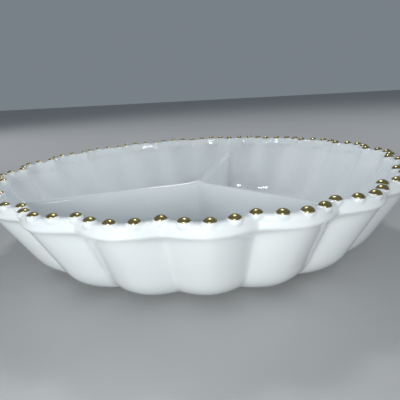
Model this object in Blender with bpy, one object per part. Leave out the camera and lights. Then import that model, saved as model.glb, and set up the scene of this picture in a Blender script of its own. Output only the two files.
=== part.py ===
"""A round three-part serving dish in pressed milk glass.

The glass rises from a low foot ring through a scalloped wall to an upright collar,
whose edge carries a row of gilded beads, four to each scallop. Three low dividers
meet at the middle and end on the notches between scallops. +Z is up, the dish
stands on z = 0 with its axis on Z, and the rear divider points along +Y.
"""

import math

import bmesh
import bpy
from mathutils import Matrix, Vector

# Driving dimensions, in metres
RIM_RADIUS = 0.124  # axis to a bead's centre at the middle of a scallop
HEIGHT = 0.050  # table to bead tops
GLASS = 0.0045  # thickness of the wall and the floor
RIM_THICKNESS = 0.0058  # across the collar
RIM_NOTCH = 0.0053  # how far the rim draws in between two scallops
COLLAR_DROP = 0.0087  # bead tops to the collar's lower edge
COLLAR_STEP = 0.0019  # how far the collar stands proud of the wall
COLLAR_EASE = 0.0010  # chamfer round the collar's lower edge
WALL_LEAN = 0.584  # the wall's run for each unit of rise
WALL_NOTCH_TOP = 0.0070  # depth of the creases between scallops under the collar
WALL_NOTCH_HEEL = 0.0040  # and where the wall turns under
INSIDE_NOTCH_TOP = 0.0048  # height of the ridges inside, behind the creases
INSIDE_NOTCH_HEEL = 0.0016
HEEL_RADIUS = 0.0295  # of the turn from wall to underside
FOOT_HEIGHT = 0.0014
FOOT_WIDTH = 0.0055
FOOT_INSET = 0.0010  # foot ring in from the edge of the floor
FLOOR_INSET = 0.0010  # edge of the floor in from the feet of the creases
BEAD_WIDTH = 0.0058
BEAD_RISE = 0.0035  # bead seat to bead top
BEAD_DIP = 0.0020  # bead top to the valley between two beads
BEAD_WAIST = 0.0046  # width of the row in that valley
DIVIDER_DROP = 0.0156  # bead tops to divider tops
DIVIDER_THICKNESS = 0.0044  # at the top
DIVIDER_DRAFT = 0.04  # each face's run for each unit of drop
DIVIDER_ROUND = 0.0018  # radius of the top edges
SEAM = 0.0003  # gap between neighbouring solids
SCALLOPS = 21
BEADS_PER_SCALLOP = 4
DIVIDERS = 3
SCALLOP_POWER = 1.75  # how square a scallop's plan is
FACETS_PER_SCALLOP = 6
HEEL_FACETS = 5
STATIONS_PER_BEAD = 4

COLLAR_BOTTOM = HEIGHT - COLLAR_DROP
BEAD_SEAT = HEIGHT - BEAD_RISE
DIVIDER_TOP = HEIGHT - DIVIDER_DROP
UNDERSIDE = FOOT_HEIGHT
FLOOR = UNDERSIDE + GLASS
LEAN_LENGTH = math.hypot(1, WALL_LEAN)
WALL_TOP_RADIUS = RIM_RADIUS + RIM_THICKNESS / 2 - COLLAR_STEP
HEEL_Z = UNDERSIDE + HEEL_RADIUS
HEEL_R = WALL_TOP_RADIUS - WALL_LEAN * (COLLAR_BOTTOM - HEEL_Z) - HEEL_RADIUS * LEAN_LENGTH
FLOOR_RADIUS = HEEL_R - WALL_NOTCH_HEEL - FLOOR_INSET

MILK_GLASS = ("milk_glass", (0.86, 0.88, 0.87), 0.08, 0.0)
GILDING = ("gilding", (0.75, 0.58, 0.27), 0.18, 1.0)


def material(name, colour, roughness, metallic):
    made = bpy.data.materials.get(name) or bpy.data.materials.new(name)
    made.use_nodes = True
    shader = made.node_tree.nodes["Principled BSDF"]
    shader.inputs["Base Color"].default_value = (*colour, 1)
    shader.inputs["Roughness"].default_value = roughness
    shader.inputs["Metallic"].default_value = metallic
    return made


def add_part(name, mesh_in_work, finish, collection):
    """Closes a bmesh's seams, turns its faces out and puts it in the collection."""
    bmesh.ops.remove_doubles(mesh_in_work, verts=mesh_in_work.verts, dist=1e-6)
    bmesh.ops.recalc_face_normals(mesh_in_work, faces=mesh_in_work.faces)
    mesh = bpy.data.meshes.new(name)
    mesh_in_work.to_mesh(mesh)
    mesh_in_work.free()
    mesh.shade_smooth()
    mesh.set_sharp_from_angle(angle=math.radians(35))
    mesh.materials.append(material(*finish))
    part = bpy.data.objects.new(name, mesh)
    collection.objects.link(part)
    return part


def notch_share(angle):
    """1 on a notch between two scallops, 0 at the middle of a scallop."""
    along = ((angle - math.pi / 2) * SCALLOPS / math.tau) % 1
    return abs(2 * along - 1) ** SCALLOP_POWER


def turned(profile, closed):
    """A profile of (radius, notch, z) turned about Z, its radius drawn in at each notch."""
    work = bmesh.new()
    notch = work.verts.layers.float.new("notch")
    line = []
    for radius, depth, z in profile:
        line.append(work.verts.new((0, radius, z)))
        line[-1][notch] = depth
    pairs = list(zip(line, line[1:]))
    if closed:
        pairs.append((line[-1], line[0]))
    edges = [work.edges.new(pair) for pair in pairs]
    bmesh.ops.spin(
        work,
        geom=line + edges,
        axis=(0, 0, 1),
        angle=math.tau,
        steps=SCALLOPS * FACETS_PER_SCALLOP,
        use_merge=True,
    )
    for vert in work.verts:
        radius = vert.co.xy.length
        if radius > SEAM:
            share = notch_share(math.atan2(vert.co.y, vert.co.x))
            vert.co.xy *= (radius - vert[notch] * share) / radius
    return work


def wall_radius(z, inside):
    """The wall's radius at the middle of a scallop, on its straight stretch."""
    radius = WALL_TOP_RADIUS - WALL_LEAN * (COLLAR_BOTTOM - z)
    return radius - GLASS * LEAN_LENGTH if inside else radius


def wall_notch(z, inside):
    """Depth of the creases outside, or height of the ridges inside, fading down to the heel."""
    at_top = INSIDE_NOTCH_TOP if inside else WALL_NOTCH_TOP
    at_heel = INSIDE_NOTCH_HEEL if inside else WALL_NOTCH_HEEL
    return at_heel + (at_top - at_heel) * (z - UNDERSIDE) / (COLLAR_BOTTOM - UNDERSIDE)


def heel(radius):
    """Points (r, z) of the turn from the underside or the floor up to the wall."""
    lean = math.atan(WALL_LEAN)
    for step in range(HEEL_FACETS + 1):
        turn = (math.pi / 2 - lean) * step / HEEL_FACETS
        yield HEEL_R + radius * math.sin(turn), HEEL_Z - radius * math.cos(turn)


def inside_line(top):
    """(r, z) up the inside at the middle of a scallop, from the floor to the height top."""
    return list(heel(HEEL_RADIUS - GLASS)) + [(wall_radius(top, True), top)]


def floor(collection):
    """Round floor on its foot ring."""
    foot_outer = FLOOR_RADIUS - FOOT_INSET
    foot_inner = foot_outer - FOOT_WIDTH
    profile = [(0, 0, UNDERSIDE), (foot_inner, 0, UNDERSIDE), (foot_inner + FOOT_HEIGHT, 0, 0)]
    profile += [(foot_outer - FOOT_HEIGHT, 0, 0), (foot_outer, 0, UNDERSIDE)]
    profile += [(FLOOR_RADIUS, 0, UNDERSIDE), (FLOOR_RADIUS, 0, FLOOR), (0, 0, FLOOR)]
    return add_part("floor", turned(profile, False), MILK_GLASS, collection)


def wall(collection):
    """Scalloped wall, from the floor's edge round the heel and up to the seam under the collar."""
    top = COLLAR_BOTTOM - SEAM
    outside = list(heel(HEEL_RADIUS)) + [(wall_radius(top, False), top)]
    profile = [(FLOOR_RADIUS + SEAM, 0, FLOOR), (FLOOR_RADIUS + SEAM, 0, UNDERSIDE)]
    profile += [(r, wall_notch(z, False), z) for r, z in outside]
    profile += [(r, wall_notch(z, True), z) for r, z in reversed(inside_line(top))]
    return add_part("scalloped_wall", turned(profile, True), MILK_GLASS, collection)


def collar(collection):
    """Upright band round the top of the wall, under the beads."""
    top = BEAD_SEAT - SEAM
    outer = RIM_RADIUS + RIM_THICKNESS / 2
    inner = RIM_RADIUS - RIM_THICKNESS / 2
    inner_foot = min(inner, wall_radius(COLLAR_BOTTOM, True))
    inner_turn = COLLAR_BOTTOM + (inner - inner_foot) / WALL_LEAN
    profile = [
        (outer - COLLAR_EASE, RIM_NOTCH, COLLAR_BOTTOM),
        (outer, RIM_NOTCH, COLLAR_BOTTOM + COLLAR_EASE),
        (outer, RIM_NOTCH, top),
        (inner, RIM_NOTCH, top),
    ]
    if COLLAR_BOTTOM < inner_turn < top:
        profile.append((inner, RIM_NOTCH, inner_turn))
    profile.append((inner_foot, INSIDE_NOTCH_TOP, COLLAR_BOTTOM))
    return add_part("rim_collar", turned(profile, True), MILK_GLASS, collection)


def bead_row(collection):
    """The gilded beads: one domed strip that narrows and dips between each bead and the next."""
    work = bmesh.new()
    beads = SCALLOPS * BEADS_PER_SCALLOP
    stations = beads * STATIONS_PER_BEAD
    rings = []
    for station in range(stations):
        angle = math.pi / 2 + math.tau * station / stations
        swell = (1 + math.cos(math.tau * station / STATIONS_PER_BEAD)) / 2
        half = (BEAD_WAIST + (BEAD_WIDTH - BEAD_WAIST) * swell) / 2
        rise = BEAD_RISE - BEAD_DIP * (1 - swell)
        centre = RIM_RADIUS - RIM_NOTCH * notch_share(angle)
        ring = []
        for turn in (0, math.pi / 4, math.pi / 2, 3 * math.pi / 4, math.pi):
            radius = centre + half * math.cos(turn)
            z = BEAD_SEAT + rise * math.sin(turn)
            ring.append(work.verts.new((radius * math.cos(angle), radius * math.sin(angle), z)))
        rings.append(ring)
    for ring, after in zip(rings, rings[1:] + rings[:1]):
        for i in range(len(ring)):
            work.faces.new((ring[i - 1], ring[i], after[i], after[i - 1]))
    return add_part("bead_row", work, GILDING, collection)


def divider(name, angle, collection):
    """One upright wall from the middle out to a notch, mitred against the other two."""
    work = bmesh.new()
    outline = [
        (r - wall_notch(z, True) - SEAM * LEAN_LENGTH, z + SEAM)
        for r, z in inside_line(DIVIDER_TOP - SEAM)
    ]
    outline = [(-DIVIDER_THICKNESS, DIVIDER_TOP), (-DIVIDER_THICKNESS, FLOOR + SEAM)] + outline
    half = DIVIDER_THICKNESS / 2
    face = work.faces.new([work.verts.new((x, -half, z)) for x, z in outline])
    grown = bmesh.ops.extrude_face_region(work, geom=[face])["geom"]
    moved = [item for item in grown if isinstance(item, bmesh.types.BMVert)]
    bmesh.ops.translate(work, verts=moved, vec=(0, DIVIDER_THICKNESS, 0))
    tops = [
        edge
        for edge in work.edges
        if all(abs(v.co.z - DIVIDER_TOP) < SEAM for v in edge.verts)
        and abs(edge.verts[0].co.y - edge.verts[1].co.y) < SEAM
    ]
    bmesh.ops.bevel(
        work,
        geom=tops,
        offset=min(DIVIDER_ROUND, 0.45 * DIVIDER_THICKNESS),
        segments=3,
        profile=0.5,
        affect="EDGES",
        material=-1,
    )
    for vert in work.verts:
        vert.co.y *= 1 + DIVIDER_DRAFT * (DIVIDER_TOP - vert.co.z) / half
    for side in (1, -1):
        mitre = Vector((-math.sin(math.pi / DIVIDERS), side * math.cos(math.pi / DIVIDERS), 0))
        cut = bmesh.ops.bisect_plane(
            work,
            geom=work.verts[:] + work.edges[:] + work.faces[:],
            plane_co=mitre * -SEAM,
            plane_no=mitre,
            clear_outer=True,
        )["geom_cut"]
        rim = [item for item in cut if isinstance(item, bmesh.types.BMEdge)]
        bmesh.ops.edgeloop_fill(work, edges=rim)
    bmesh.ops.transform(work, matrix=Matrix.Rotation(angle, 4, "Z"), verts=work.verts)
    return add_part(name, work, MILK_GLASS, collection)


def main():
    for old in list(bpy.data.objects):
        bpy.data.objects.remove(old, do_unlink=True)
    dish = bpy.data.collections.new("divided_serving_dish")
    bpy.context.scene.collection.children.link(dish)
    floor(dish)
    wall(dish)
    collar(dish)
    bead_row(dish)
    names = ("divider_rear", "divider_left", "divider_right")
    for i, name in enumerate(names):
        divider(name, math.pi / 2 + math.tau * i / DIVIDERS, dish)


main()
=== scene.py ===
import math

import bmesh
import bpy
from mathutils import Matrix, Vector


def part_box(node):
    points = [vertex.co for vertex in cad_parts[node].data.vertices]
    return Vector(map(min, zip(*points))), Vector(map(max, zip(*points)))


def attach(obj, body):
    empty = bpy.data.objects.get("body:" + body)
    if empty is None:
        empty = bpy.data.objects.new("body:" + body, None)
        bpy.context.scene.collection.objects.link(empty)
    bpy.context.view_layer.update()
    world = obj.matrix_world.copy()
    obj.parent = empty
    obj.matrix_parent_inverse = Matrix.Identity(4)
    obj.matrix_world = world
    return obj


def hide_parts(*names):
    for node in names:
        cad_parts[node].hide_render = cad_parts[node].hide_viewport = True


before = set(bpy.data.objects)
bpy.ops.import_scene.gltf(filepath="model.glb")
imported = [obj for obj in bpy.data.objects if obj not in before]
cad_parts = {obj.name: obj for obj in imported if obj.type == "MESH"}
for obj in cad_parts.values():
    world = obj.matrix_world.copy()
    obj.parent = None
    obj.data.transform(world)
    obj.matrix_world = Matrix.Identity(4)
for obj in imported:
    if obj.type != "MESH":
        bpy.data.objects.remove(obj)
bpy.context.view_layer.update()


# ---- The bowl -----------------------------------------------------------------------
# Foot ring, floor, scalloped wall and three dividers, all one pressing of white milk
# glass. The mould gives the outside its 21 scallops, with a narrow strip between each
# two, and the plunger leaves the inside smooth, so every inner corner is well rounded.

MM = 0.001
SCALLOPS = 21
SCALLOP_POWER = 1.75  # how square a scallop's plan is
WALL_LEAN = 0.584  # the wall's run for each unit of rise
GLASS = 4.5 * MM
HEEL = 29.5 * MM  # radius of the turn from wall to underside
CREASE_TOP = 7.0 * MM  # depth between two scallops, under the collar
CREASE_HEEL = 4.0 * MM
RIDGE_TOP = 4.8 * MM  # height of the soft ridges inside, behind the creases
RIDGE_HEEL = 1.6 * MM
STRIP_TOP = 0.075  # half width of the flat strip in a crease, of half a scallop
STRIP_HEEL = 0.012
EDGE_TOP = 0.24  # how softly a scallop's flank runs into that strip
EDGE_HEEL = 0.12
RIM_THICKNESS = 5.8 * MM
RIM_NOTCH = 5.3 * MM  # how far the rim draws in between two scallops
RIM_EDGE = 0.2  # how softly it turns there
COLLAR_STEP = 1.9 * MM  # how far the collar stands proud of the wall
INNER_TURN = 2.6 * MM  # ease where the wall turns upright inside the collar

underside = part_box("scalloped_wall")[0].z
floor_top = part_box("floor")[1].z
floor_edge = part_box("floor")[1].x
collar_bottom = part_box("rim_collar")[0].z
divider_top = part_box("divider_rear")[1].z
rim_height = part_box("bead_row")[1].z
rim_radius = -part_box("rim_collar")[0].y - RIM_THICKNESS / 2
lean = math.atan(WALL_LEAN)
wall_top_radius = rim_radius + RIM_THICKNESS / 2 - COLLAR_STEP
heel_z = underside + HEEL
heel_radius = wall_top_radius - WALL_LEAN * (collar_bottom - heel_z) - HEEL / math.cos(lean)


def soft_max(a, b, ease):
    """The greater of two numbers, blended by a cubic where they are nearer than `ease`."""
    near = max(ease - abs(a - b), 0) / ease
    return max(a, b) + near**3 * ease / 6


def soft_min(a, b, ease):
    return -soft_max(-a, -b, ease)


def across_scallop(angle):
    """0 on a notch, 0.5 at the middle of a scallop and 1 on the next notch."""
    return ((angle - math.pi / 2) * SCALLOPS / math.tau) % 1


def crease(across, strip, ease):
    """1 on a notch and 0 at the middle of a scallop, level for a strip beside the notch."""
    clear = soft_max(1 - abs(2 * across - 1) - strip, 0, ease)
    at_notch = soft_max(-strip, 0, ease)
    share = (clear - at_notch) / (1 - strip - at_notch)
    return max(1 - share, 0) ** SCALLOP_POWER


def rising(z):
    """0 at the underside and 1 at the collar."""
    return (z - underside) / (collar_bottom - underside)


def blend(low, high, share):
    return low + (high - low) * share


def wall_line(z, thickness):
    """Radius at the middle of a scallop, so far in from the outside."""
    turn = HEEL - thickness
    if z > heel_z - turn * math.sin(lean):
        return wall_top_radius - WALL_LEAN * (collar_bottom - z) - thickness / math.cos(lean)
    return heel_radius + math.sqrt(max(turn**2 - (heel_z - z) ** 2, 0))


def outer_radius(across, z):
    share = rising(z)
    depth = blend(CREASE_HEEL, CREASE_TOP, share)
    strip = blend(STRIP_HEEL, STRIP_TOP, share)
    ease = blend(EDGE_HEEL, EDGE_TOP, share)
    return wall_line(z, 0) - depth * crease(across, strip, ease)


def rim_line(across):
    """Radius of the line that the beads stand on."""
    return rim_radius - RIM_NOTCH * crease(across, 0, RIM_EDGE)


def inner_radius(across, z):
    """The inside, which only waves softly where the outside is creased."""
    wave = (1 + math.cos(math.tau * across)) / 2
    ridge = blend(RIDGE_HEEL, RIDGE_TOP, rising(z)) * wave
    upright = rim_line(across) - RIM_THICKNESS / 2
    return soft_min(wall_line(z, GLASS) - ridge, upright, INNER_TURN)


COLUMNS_PER_SCALLOP = 32
CROWDING = 0.5  # how much closer the columns stand at the notches
DIVIDERS = 3
SWEEP = 2.2 * MM  # how far a divider's top runs up where it meets the wall
SWEEP_REACH = 9 * MM
SWEEP_FADE = 6 * MM


def crowded(share, amount):
    """A share of a run, moved towards the run's nearer end."""
    return share - amount / math.tau * math.sin(math.tau * share)


def sweep(from_wall, off_top):
    """Lift of the glass near a divider's end, so far from the wall and from the divider's top."""
    near = max(1 - from_wall / SWEEP_REACH, 0)
    return SWEEP * near**3 * max(1 - off_top / SWEEP_FADE, 0) ** 2


def off_divider(angle):
    """Angle from the nearest divider."""
    turn = math.tau / DIVIDERS
    return abs((angle - math.pi / 2 + turn / 2) % turn - turn / 2)


def polar(radius, angle, z):
    return Vector((radius * math.cos(angle), radius * math.sin(angle), z))


def spread(first, last, steps):
    """Evenly spaced numbers after `first`, up to and with `last`."""
    return [blend(first, last, (i + 1) / steps) for i in range(steps)]


def grown(work, edges):
    """Extrudes a line of edges, and gives the new vertices and the new line."""
    made = bmesh.ops.extrude_edge_only(work, edges=edges)["geom"]
    verts = [item for item in made if isinstance(item, bmesh.types.BMVert)]
    far = set(verts)
    lines = [item for item in made if isinstance(item, bmesh.types.BMEdge)]
    return verts, [edge for edge in lines if far.issuperset(edge.verts)]


def bearing(vert):
    """Angle of a vertex round the dish's axis."""
    return math.atan2(vert.co.y, vert.co.x)


PLAIN, OUTSIDE, INSIDE = 0, 1, 2
FOOT_WIDTH = 5.5 * MM
FOOT_INSET = 1.0 * MM
RECESS_RINGS = (0, 0.25, 0.5, 0.75)  # mesh rings inside the foot, as shares of its radius
FOOT_ROWS = 12
HEEL_ROWS = 12
WALL_ROWS = 12
SEAM_ROWS = 5
TUCK = 0.02 * MM  # how far hidden glass lies under the glass that covers it
SEAM_Z = collar_bottom + 0.2 * MM  # where bowl and rim meet inside
HIDDEN_TOP = collar_bottom + 1.5 * MM

foot_middle = floor_edge - FOOT_INSET - FOOT_WIDTH / 2
foot_inner = foot_middle - FOOT_WIDTH / 2
profile = [(PLAIN, foot_inner * share, underside) for share in RECESS_RINGS]
profile.append((PLAIN, foot_inner, underside))
for step in spread(-1, 1, FOOT_ROWS):
    profile.append((PLAIN, foot_middle + step * FOOT_WIDTH / 2, underside * step**4))
profile.append((OUTSIDE, 0, underside))
for turn in spread(0, math.pi / 2 - lean, HEEL_ROWS):
    profile.append((OUTSIDE, 0, heel_z - HEEL * math.cos(turn)))
profile += [(OUTSIDE, 0, z) for z in spread(profile[-1][2], HIDDEN_TOP, WALL_ROWS)]
profile += [(INSIDE, 0, z) for z in (HIDDEN_TOP + 0.2 * MM, SEAM_Z)]
profile += [(INSIDE, 0, z) for z in spread(SEAM_Z, divider_top, SEAM_ROWS)]

bowl = bmesh.new()
spot = bowl.verts.layers.int.new("spot")  # a vertex's place in its compartment's outline
bmesh.ops.create_circle(bowl, segments=SCALLOPS * COLUMNS_PER_SCALLOP, radius=foot_inner)
verts, edges = bowl.verts[:], bowl.edges[:]
for vert in verts:
    turned = (bearing(vert) - math.pi / 2) * SCALLOPS / math.tau
    angle = math.pi / 2 + crowded(turned, CROWDING) * math.tau / SCALLOPS
    vert.co = polar(foot_inner, angle, underside)
for row, (kind, radius, z) in enumerate(profile):
    if row:
        verts, edges = grown(bowl, edges)
    for vert in verts:
        angle = bearing(vert)
        across = across_scallop(angle)
        height = z
        if kind == OUTSIDE:
            radius = outer_radius(across, z)
        elif kind == INSIDE:
            height += sweep(off_divider(angle) * rim_radius, z - divider_top)
            radius = inner_radius(across, height) + TUCK * (z > SEAM_Z + TUCK)
        vert.co = polar(max(radius, TUCK), angle, height)

DIVIDER_ROUND = 2.2 * MM  # a divider's top is a full half round
DIVIDER_DRAFT = 0.04
DIVIDER_FOOT = 5 * MM  # fillet between divider and floor
CORNER_TOP = 4 * MM  # where divider and wall meet
CORNER_FLOOR = 9 * MM
HUB_CORNER = 3.5 * MM
CREST_CUTS = 62
CREST_CROWDING = 0.75
HUB_BUMP = 0.9 * MM  # the tops swell where the three dividers meet
HUB_REACH = 8 * MM
SQUEEZE = 0.45  # radians of wall that make room for a divider
TOP_ROWS = 6
FACE_ROWS = 6
TURN_ROWS = 10
FLOOR_MIDDLE = 0.55  # centre of a compartment's floor, as a share of its reach
FLOOR_RINGS = (0.8, 0.75, 0.66, 0.5, 0)  # each ring's size as a share of the one before
END_REACH = 4.5 * MM  # the tops run into the wall with a soft corner
END_PASSES = 24


def curve(start, corner, end, share):
    """A point on the curve that rounds a corner."""
    return start * (1 - share) ** 2 + corner * 2 * share * (1 - share) + end * share**2


class Level:
    """The outline of a compartment at one height, as seen from the nearer divider."""

    def __init__(self, z, half, corner, hub_corner):
        self.z = z
        self.half = half
        self.corner = corner
        self.hub_corner = hub_corner
        self.hub = half / math.tan(math.pi / DIVIDERS)
        reach = wall_line(z, GLASS)
        for _ in range(5):
            self.wall_angle = math.asin(half / reach)
            reach = self.wall_reach(self.wall_angle)
        self.reach = reach
        self.wall = math.sqrt(reach**2 - half**2)

    def wall_reach(self, angle):
        return inner_radius(across_scallop(math.pi / 2 + angle), self.z)

    def wall_point(self, angle):
        return polar(self.wall_reach(angle), angle, self.z)

    def lifted(self, point, from_wall):
        """The same point, with the sweep up at the wall and the swelling at the middle."""
        off_top = max(divider_top - self.z, 0)
        near_hub = max(1 - (point.xy.length / HUB_REACH) ** 2, 0) ** 2
        bump = HUB_BUMP * near_hub * max(1 - off_top / SWEEP_FADE, 0) ** 2
        return Vector((point.x, point.y, self.z + sweep(from_wall, off_top) + bump))

    def rounded(self, share):
        """Round the corner between divider and wall."""
        start = Vector((self.wall - self.corner, self.half, self.z))
        middle = Vector((self.wall, self.half, self.z))
        end = self.wall_point(self.wall_angle + self.corner / self.reach)
        return curve(start, middle, end, share)

    def divider_side(self, share):
        """A point on the divider's face, from the hub at 0 to the wall at 1."""
        along = blend(self.hub, self.wall, crowded(share, CREST_CROWDING))
        from_wall = self.wall - along
        from_hub = along - self.hub
        if from_wall < self.corner:
            point = self.rounded((1 - from_wall / self.corner) / 2)
        elif from_hub < self.hub_corner:
            start = Vector((self.hub + self.hub_corner, self.half, self.z))
            middle = Vector((self.hub, self.half, self.z))
            bisector = Vector((math.cos(math.pi / DIVIDERS), math.sin(math.pi / DIVIDERS), 0))
            end = bisector * 2 * bisector.dot(start) - start
            end.z = self.z
            point = curve(start, middle, end, (1 - from_hub / self.hub_corner) / 2)
        else:
            point = Vector((along, self.half, self.z))
        return self.lifted(point, from_wall)

    def wall_side(self, offset):
        """A point on the wall, from the angle that its column has above the dividers."""
        angle = offset + self.wall_angle * max(1 - offset / SQUEEZE, 0) ** 2
        from_corner = (angle - self.wall_angle) * self.reach
        if from_corner < self.corner:
            point = self.rounded((1 + from_corner / self.corner) / 2)
            return self.lifted(point, from_corner)
        z = self.lifted(self.wall_point(angle), from_corner).z
        return polar(inner_radius(across_scallop(math.pi / 2 + angle), z), angle, z)


def divider_half(z):
    """Half of a divider's thickness, with the fillet at its foot."""
    half = DIVIDER_ROUND + DIVIDER_DRAFT * (divider_top - DIVIDER_ROUND - z)
    up = z - floor_top
    if up < DIVIDER_FOOT:
        half += DIVIDER_FOOT - math.sqrt(max(DIVIDER_FOOT**2 - (DIVIDER_FOOT - up) ** 2, 0))
    return half


levels = []
for turn in spread(0, math.pi / 2, TOP_ROWS):
    z = divider_top - DIVIDER_ROUND * (1 - math.cos(turn))
    share = math.sin(turn)
    levels.append(Level(z, DIVIDER_ROUND * share, CORNER_TOP * share, HUB_CORNER * share))
inner_heel = HEEL - GLASS
heights = spread(levels[-1].z, heel_z - inner_heel * math.sin(lean), FACE_ROWS)
heights += [heel_z - inner_heel * math.cos(b) for b in spread(math.pi / 2 - lean, 0, TURN_ROWS)]
for z in heights:
    corner = blend(CORNER_FLOOR, CORNER_TOP, (z - floor_top) / (divider_top - floor_top))
    levels.append(Level(z, divider_half(z), corner, HUB_CORNER))


per_compartment = len(verts) // DIVIDERS
ring = sorted(verts, key=lambda vert: (bearing(vert) - math.pi / 2 + TUCK) % math.tau)
ring.append(ring[0])
crest_level = Level(divider_top, 0, 0, 0)
hub = bowl.verts.new((0, 0, divider_top + HUB_BUMP))
crests = []
for i in range(DIVIDERS):
    turn = Matrix.Rotation(math.pi / 2 + math.tau * i / DIVIDERS, 3, "Z")
    shares = spread(0, 1, CREST_CUTS + 1)[:-1]
    crest = [bowl.verts.new(turn @ crest_level.divider_side(share)) for share in shares]
    for pair in zip([hub] + crest, crest + [ring[i * per_compartment]]):
        bowl.edges.new(pair)
    crests.append(crest)
crests.append(crests[0])

for i in range(DIVIDERS):
    arc = ring[i * per_compartment : (i + 1) * per_compartment + 1]
    offsets = [off_divider(bearing(vert)) for vert in arc]
    outline = [hub] + crests[i] + arc + crests[i + 1][::-1]
    near_turn = Matrix.Rotation(math.pi / 2 + math.tau * i / DIVIDERS, 3, "Z")
    far_turn = near_turn @ Matrix.Rotation(math.tau / DIVIDERS, 3, "Z")
    far_turn = far_turn @ Matrix.Scale(-1, 3, (0, 1, 0))
    for k, vert in enumerate(outline):
        vert[spot] = k
    edges = [bowl.edges.get(pair) for pair in zip(outline, outline[1:] + outline[:1])]
    for level in levels:
        verts, edges = grown(bowl, edges)
        for vert in verts:
            k = vert[spot]
            column = k - 1 - CREST_CUTS
            if column < 0:
                vert.co = near_turn @ level.divider_side(k / (CREST_CUTS + 1))
            elif column >= len(arc):
                share = (len(outline) - k) / (CREST_CUTS + 1)
                vert.co = far_turn @ level.divider_side(share)
            else:
                turn = near_turn if column * 2 <= per_compartment else far_turn
                vert.co = turn @ level.wall_side(offsets[column])
    middle = near_turn @ polar(levels[-1].wall * FLOOR_MIDDLE, math.pi / DIVIDERS, floor_top)
    for shrink in FLOOR_RINGS:
        verts, edges = grown(bowl, edges)
        for vert in verts:
            vert.co = middle + (vert.co - middle) * shrink

for i in range(DIVIDERS):
    end = polar(levels[0].wall, math.pi / 2 + math.tau * i / DIVIDERS, divider_top + SWEEP)
    near_end = [vert for vert in bowl.verts if (vert.co - end).length < END_REACH]
    for _ in range(END_PASSES):
        axes = {"use_axis_x": True, "use_axis_y": True, "use_axis_z": True}
        bmesh.ops.smooth_vert(bowl, verts=near_end, factor=0.5, **axes)


class Wire:
    """A value that runs between shader nodes. Sums on it add the nodes that they need."""

    def __init__(self, finish, socket):
        self.finish = finish
        self.socket = socket

    def math(self, operation, first, second):
        return self.finish.node("Math", {"operation": operation}, {0: first, 1: second})

    def __add__(self, other):
        return self.math("ADD", self, other)

    def __mul__(self, other):
        return self.math("MULTIPLY", self, other)

    def __sub__(self, other):
        return self.math("SUBTRACT", self, other)

    def __rsub__(self, other):
        return self.math("SUBTRACT", other, self)

    __radd__ = __add__
    __rmul__ = __mul__


class Finish:
    """A material made of nodes round one Principled shader."""

    def __init__(self, name, **constants):
        self.material = bpy.data.materials.new(name)
        self.material.use_nodes = True
        self.tree = self.material.node_tree
        self.shader = self.tree.nodes["Principled BSDF"]
        for socket, value in constants.items():
            self.shader.inputs[socket.replace("_", " ")].default_value = value
        self.place = self.node("TexCoord", {}, {}, "Object")

    def node(self, kind, settings, inputs, output=0):
        """Any node: its settings first, then what its sockets hold or are wired to."""
        made = self.tree.nodes.new("ShaderNode" + kind)
        for name, value in settings.items():
            setattr(made, name, value)
        for name, value in inputs.items():
            if isinstance(value, Wire):
                self.tree.links.new(value.socket, made.inputs[name])
            else:
                made.inputs[name].default_value = value
        return Wire(self, made.outputs[output])

    def noise(self, scale, detail, stretch=(1, 1, 1)):
        """Noise from 0 to 1 over the piece, with `scale` patches to the metre."""
        place = self.node("Mapping", {}, {"Vector": self.place, "Scale": stretch})
        return self.node("TexNoise", {}, {"Vector": place, "Scale": scale, "Detail": detail})

    def mix(self, share, first, second):
        """Two colours mixed by a share from 0 to 1."""
        settings = {"data_type": "RGBA"}
        return self.node("Mix", settings, {0: share, 6: first, 7: second}, 2)

    def clamp(self, value, low, high):
        """0 where the value is under `low`, 1 over `high`, and smooth between."""
        settings = {"interpolation_type": "SMOOTHSTEP"}
        inputs = {"Value": value, "From Min": low, "From Max": high}
        return self.node("MapRange", settings, inputs)

    def feed(self, socket, value):
        self.tree.links.new(value.socket, self.shader.inputs[socket])

    def bump(self, height, distance, over=None):
        inputs = {"Height": height, "Distance": distance}
        if over:
            inputs["Normal"] = over
        return self.node("Bump", {}, inputs)


def colour(red, green, blue):
    return (red, green, blue, 1)


milk_glass = Finish(
    "milk_glass",
    IOR=1.5,
    Specular_IOR_Level=0.55,
    Subsurface_Weight=0.3,
    Subsurface_Radius=(1, 1, 1),
    Subsurface_Scale=0.0012,
)
height = milk_glass.node("SeparateXYZ", {}, {"Vector": milk_glass.place}, "Z")
cloud = milk_glass.noise(14, 3, (1, 1, 2))
cool = milk_glass.mix(
    milk_glass.clamp(cloud, 0.35, 0.65), colour(0.80, 0.835, 0.845), colour(0.835, 0.86, 0.86)
)
milk_glass.feed("Base Color", cool)
smear = milk_glass.clamp(milk_glass.noise(60, 4), 0.3, 0.8)
on_floor = 1 - milk_glass.clamp(height, floor_top, floor_top + 2 * MM)
scratches = milk_glass.clamp(milk_glass.noise(500, 2, (1, 0.05, 1)), 0.62, 0.68)
cross_scratches = milk_glass.clamp(milk_glass.noise(420, 2, (0.06, 1, 1)), 0.62, 0.68)
worn = (scratches + cross_scratches) * on_floor
milk_glass.feed("Roughness", smear * 0.06 + worn * 0.12 + 0.06)
ripple = milk_glass.bump(milk_glass.noise(45, 1), 0.00025)
milk_glass.feed("Normal", milk_glass.bump(milk_glass.noise(420, 2), 0.00001, ripple))


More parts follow.
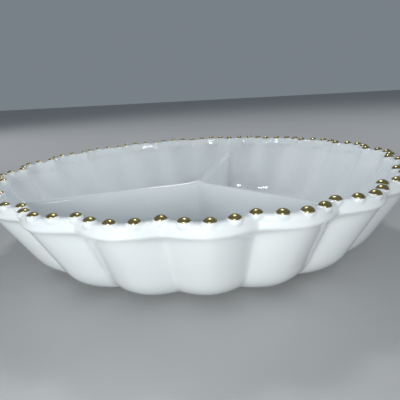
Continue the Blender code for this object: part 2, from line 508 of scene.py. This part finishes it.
def finished(name, mesh_in_work, finish, slot, *nodes):
    """Closes a bmesh, makes it a piece that stands for CAD nodes, and gives it its finish."""
    bmesh.ops.remove_doubles(mesh_in_work, verts=mesh_in_work.verts, dist=1e-6)
    bmesh.ops.recalc_face_normals(mesh_in_work, faces=mesh_in_work.faces)
    mesh = bpy.data.meshes.new(name)
    mesh_in_work.to_mesh(mesh)
    mesh_in_work.free()
    mesh.shade_smooth()
    mesh.materials.append(finish.material)
    piece = bpy.data.objects.new(name, mesh)
    bpy.context.scene.collection.objects.link(piece)
    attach(piece, "root")
    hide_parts(*nodes)
    return piece


finished(
    "bowl_glass",
    bowl,
    milk_glass,
    "milk_glass",
    "floor",
    "scalloped_wall",
    "divider_rear",
    "divider_left",
    "divider_right",
)


# ---- The rim ------------------------------------------------------------------------
# An upright collar with 84 glass beads along its top, four to a scallop. It comes out
# of the same mould as the bowl, in the ring that closes over the plunger, so it runs
# into the wall with a soft step and into each bead with a small fillet.

BEADS = 84
COLUMNS_PER_BEAD = 24
BEAD_HALF_WIDTH = 2.85 * MM
BEAD_HALF_HEIGHT = 2.36 * MM
GILT = 0.04 * MM  # how far the gold stands on the glass
BEAD_FILLET = 1.1 * MM
RIM_CENTRE = rim_height - 4.5 * MM
RIM_SHOULDER = 2.55 * MM  # height of the collar's top over its centre, between beads
SHOULDER_POWER = 3
COLLAR_LOW = 41.9 * MM  # lower edge of the collar at the middle of a scallop
COLLAR_DIP = 2.8 * MM  # how much lower it is at a notch
COLLAR_STRIP = 0.05  # half width of that low stretch, of half a scallop
COLLAR_EDGE = 0.3
COLLAR_RAMP = 1.2  # rise of the collar's underside over its run
COLLAR_ROUND = 2.2 * MM
COLLAR_FILLET = 2.4 * MM
COLLAR_LEAN = 0.22  # the collar draws in as it rises from its lower edge
LIP = 1.0 * MM  # height of the collar's widest line over its lower edge
LIP_EASE = 0.5 * MM
BEAD_SWELL = 0.3 * MM  # the beads still show on the collar inside
RIM_UNDER = 3.4 * MM  # how far the rim's mesh runs on inside the wall
LONGEST_REACH = 6 * MM
HALVINGS = 16
INNER_ROWS = 7
OVER_ROWS = 22
OUTER_ROWS = 16

bead_centre = rim_height - GILT - BEAD_HALF_HEIGHT


def bead_place(number):
    """Centre of a bead, counted round from the rear divider."""
    angle = math.pi / 2 + math.tau * number / BEADS
    return polar(rim_line(across_scallop(angle)), angle, bead_centre)


def collar_low(across):
    return COLLAR_LOW - COLLAR_DIP * crease(across, COLLAR_STRIP, COLLAR_EDGE)


def collar_radius(across, z):
    """The collar outside: a soft step out from the wall, then a band that leans in."""
    wall = outer_radius(across, z)
    above = z - collar_low(across)
    drawn_in = soft_max(COLLAR_LEAN * (above - LIP), 0, LIP_EASE)
    band = rim_line(across) + RIM_THICKNESS / 2 - drawn_in
    step = soft_max(above / COLLAR_RAMP, 0, COLLAR_FILLET)
    hidden = TUCK * 3 * max(-COLLAR_FILLET - above, 0) / MM
    return soft_min(band, wall + step, COLLAR_ROUND) - hidden


def collar_inside(angle, z):
    rise = max(z - SEAM_Z, 0) / (RIM_CENTRE - SEAM_Z)
    swell = BEAD_SWELL * rise * (1 + math.cos((angle - math.pi / 2) * BEADS)) / 2
    return inner_radius(across_scallop(angle), z) - swell


def rim_gap(place, centre, bead, reach):
    """About how far a point lies outside the rim, whose centre line runs at `centre`."""
    out = (place.xy.length - centre) / reach
    up = (place.z - RIM_CENTRE) / RIM_SHOULDER
    shoulder = (abs(out) ** SHOULDER_POWER + abs(up) ** SHOULDER_POWER) ** (1 / SHOULDER_POWER)
    off = place - bead
    dome = math.hypot(off.xy.length / BEAD_HALF_WIDTH, off.z / BEAD_HALF_HEIGHT)
    body = (shoulder - 1) * RIM_SHOULDER
    return soft_min(body, (dome - 1) * BEAD_HALF_HEIGHT, BEAD_FILLET)


def rim_reach(angle, turn):
    """Distance from the centre of the rim's section to its surface, found by halving."""
    centre = rim_line(across_scallop(angle))
    number = round((angle - math.pi / 2) * BEADS / math.tau)
    bead = bead_place(number)
    if turn > math.pi / 2:
        reach = centre - collar_inside(angle, RIM_CENTRE)
    else:
        reach = collar_radius(across_scallop(angle), RIM_CENTRE) - centre
    low, high = 0, LONGEST_REACH
    for _ in range(HALVINGS):
        half = (low + high) / 2
        place = polar(centre + half * math.cos(turn), angle, RIM_CENTRE + half * math.sin(turn))
        if rim_gap(place, centre, bead, reach) < 0:
            low = half
        else:
            high = half
    return half


INNER, OVER, OUTER = 0, 1, 2
rows = [(INNER, z) for z in (SEAM_Z - 1.2 * MM, SEAM_Z)]
rows += [(INNER, z) for z in spread(SEAM_Z, RIM_CENTRE, INNER_ROWS)[:-1]]
rows += [(OVER, turn) for turn in [math.pi] + spread(math.pi, 0, OVER_ROWS)]
rows += [(OUTER, share) for share in spread(0, 1, OUTER_ROWS)]
rows += [rows[0]]

rim = bmesh.new()
bmesh.ops.create_circle(rim, segments=BEADS * COLUMNS_PER_BEAD, radius=rim_radius)
verts, edges = rim.verts[:], rim.edges[:]
for row, (kind, value) in enumerate(rows):
    if row:
        verts, edges = grown(rim, edges)
    for vert in verts:
        angle = bearing(vert)
        across = across_scallop(angle)
        if kind == INNER:
            radius = collar_inside(angle, value) + TUCK * (value < SEAM_Z - TUCK)
            vert.co = polar(radius, angle, value)
        elif kind == OVER:
            reach = rim_reach(angle, value)
            radius = rim_line(across) + reach * math.cos(value)
            vert.co = polar(radius, angle, RIM_CENTRE + reach * math.sin(value))
        else:
            z = blend(RIM_CENTRE, collar_low(across) - RIM_UNDER, value)
            vert.co = polar(collar_radius(across, z), angle, z)

finished("rim_glass", rim, milk_glass, "milk_glass", "rim_collar")


# ---- The gold -----------------------------------------------------------------------
# Bright gold, painted by hand on the top of each bead and fired on at a low heat. It is
# a film, so each cap is a thin skin on its bead, and no two have quite the same edge.

CAP_SEGMENTS = 28
CAP_RINGS = 8
CAP_EDGE = 2.6 * MM  # radius of a cap's edge
CAP_LIMIT = 0.975  # the largest cap, as a share of its bead
CAP_WOBBLE = 0.02  # how uneven a cap's edge is, and how much the caps differ
CAP_DRIFT = 0.14  # the caps are larger towards one side
CAP_DRIFT_TOWARDS = Vector((0.97, 0.24, 0))
FILM = 0.08 * MM

caps = bmesh.new()
bead_of = caps.verts.layers.int.new("bead")
turn_of = caps.verts.layers.float.new("turn")
for number in range(BEADS):
    circle = bmesh.ops.create_circle(caps, segments=CAP_SEGMENTS, radius=CAP_EDGE)["verts"]
    for vert in circle:
        vert[bead_of] = number
        vert[turn_of] = bearing(vert)
verts, edges = caps.verts[:], caps.edges[:]
for row in range(CAP_RINGS + 1):
    if row:
        verts, edges = grown(caps, edges)
    for vert in verts:
        number, turn = vert[bead_of], vert[turn_of]
        wobble = math.sin(2 * turn + 1.7 * number) + 0.6 * math.sin(3 * turn + 2.9 * number)
        bead = bead_place(number)
        edge = CAP_EDGE * (1 + CAP_WOBBLE * (wobble + math.sin(5.3 * number)))
        edge *= 1 + CAP_DRIFT * bead.dot(CAP_DRIFT_TOWARDS) / rim_radius
        edge = min(edge, CAP_LIMIT * BEAD_HALF_WIDTH)
        tilt = math.asin(edge / BEAD_HALF_WIDTH) * (1 - row / CAP_RINGS)
        place = polar((BEAD_HALF_WIDTH + GILT) * math.sin(tilt), turn, 0)
        place.z = (BEAD_HALF_HEIGHT + GILT) * math.cos(tilt)
        vert.co = bead + place
bmesh.ops.remove_doubles(caps, verts=caps.verts, dist=1e-7)
bmesh.ops.recalc_face_normals(caps, faces=caps.faces)
bmesh.ops.solidify(caps, geom=caps.faces[:], thickness=FILM)

gold = Finish("bright_gold", Metallic=1.0)
patch = gold.noise(900, 3)
gold.feed(
    "Base Color",
    gold.mix(gold.clamp(patch, 0.35, 0.7), colour(0.42, 0.335, 0.14), colour(0.58, 0.48, 0.23)),
)
gold.feed("Roughness", gold.clamp(gold.noise(1500, 3), 0.3, 0.75) * 0.12 + 0.22)
gold.feed("Normal", gold.bump(gold.noise(1100, 2), 0.00004))

finished("gold_caps", caps, gold, "gilding", "bead_row")


# ---- The studio ---------------------------------------------------------------------
# A plain pale floor, a soft lamp on the camera's side of the dish, one high behind it for
# the gloss, one at each side to fill, and a dim, cool room. Colours are shown as they are.

GROUND_HALF = 4.0
GROUND_GAP = 0.2 * MM  # the floor lies just clear of the foot

stage = bmesh.new()
bmesh.ops.create_grid(stage, x_segments=1, y_segments=1, size=GROUND_HALF)
bmesh.ops.translate(stage, verts=stage.verts, vec=(0, 0, -GROUND_GAP))
ground_mesh = bpy.data.meshes.new("ground")
stage.to_mesh(ground_mesh)
stage.free()
pale_floor = Finish("pale_floor", Roughness=0.8, Specular_IOR_Level=0.15)
pale_floor.feed(
    "Base Color",
    pale_floor.mix(pale_floor.noise(6, 3), colour(0.45, 0.45, 0.45), colour(0.50, 0.50, 0.50)),
)
ground_mesh.materials.append(pale_floor.material)
ground = bpy.data.objects.new("ground", ground_mesh)
bpy.context.scene.collection.objects.link(ground)


def lamp(name, place, target, size, power, tint):
    light = bpy.data.lights.new(name, "AREA")
    light.shape = "DISK"
    light.size = size
    light.energy = power
    light.color = tint
    holder = bpy.data.objects.new(name, light)
    holder.location = place
    holder.rotation_euler = (Vector(target) - Vector(place)).to_track_quat("-Z", "Y").to_euler()
    bpy.context.scene.collection.objects.link(holder)
    return holder


lamp("key_lamp", (0.04, -0.42, 0.12), (0.03, -0.05, 0.03), 0.12, 0.9, (0.97, 1, 1))
lamp("high_lamp", (-0.15, 0.7, 1.3), (0, 0, 0.03), 0.25, 4.2, (0.96, 0.98, 1))
for name, place in (("left_lamp", (-1.1, 0.3, 0.7)), ("right_lamp", (1.1, 0.5, 0.7))):
    side_lamp = lamp(name, place, (0, 0, 0.03), 0.6, 4.0, (0.97, 0.99, 1))
    side_lamp.visible_glossy = False

world = bpy.data.worlds.new("room")
world.use_nodes = True
world.node_tree.nodes["Background"].inputs["Color"].default_value = (0.35, 0.40, 0.45, 1)
world.node_tree.nodes["Background"].inputs["Strength"].default_value = 0.55
bpy.context.scene.world = world
bpy.context.scene.view_settings.view_transform = "Standard"

CAMERA_PLACE = (0.0676, -0.2421, 0.0926)
CAMERA_AZIMUTH = math.radians(-15.485)
CAMERA_PITCH = math.radians(15.813)
CAMERA_ROLL = math.radians(-3.361)

camera_data = bpy.data.cameras.new("camera")
camera_data.lens = 34.37
camera_data.sensor_width = 36
camera = bpy.data.objects.new("camera", camera_data)
aim = Matrix.Rotation(-CAMERA_AZIMUTH, 4, "Z")
tilt = Matrix.Rotation(math.pi / 2 - CAMERA_PITCH, 4, "X")
roll = Matrix.Rotation(CAMERA_ROLL, 4, "Z")
camera.matrix_world = Matrix.Translation(CAMERA_PLACE) @ aim @ tilt @ roll
bpy.context.scene.collection.objects.link(camera)
bpy.context.scene.camera = camera
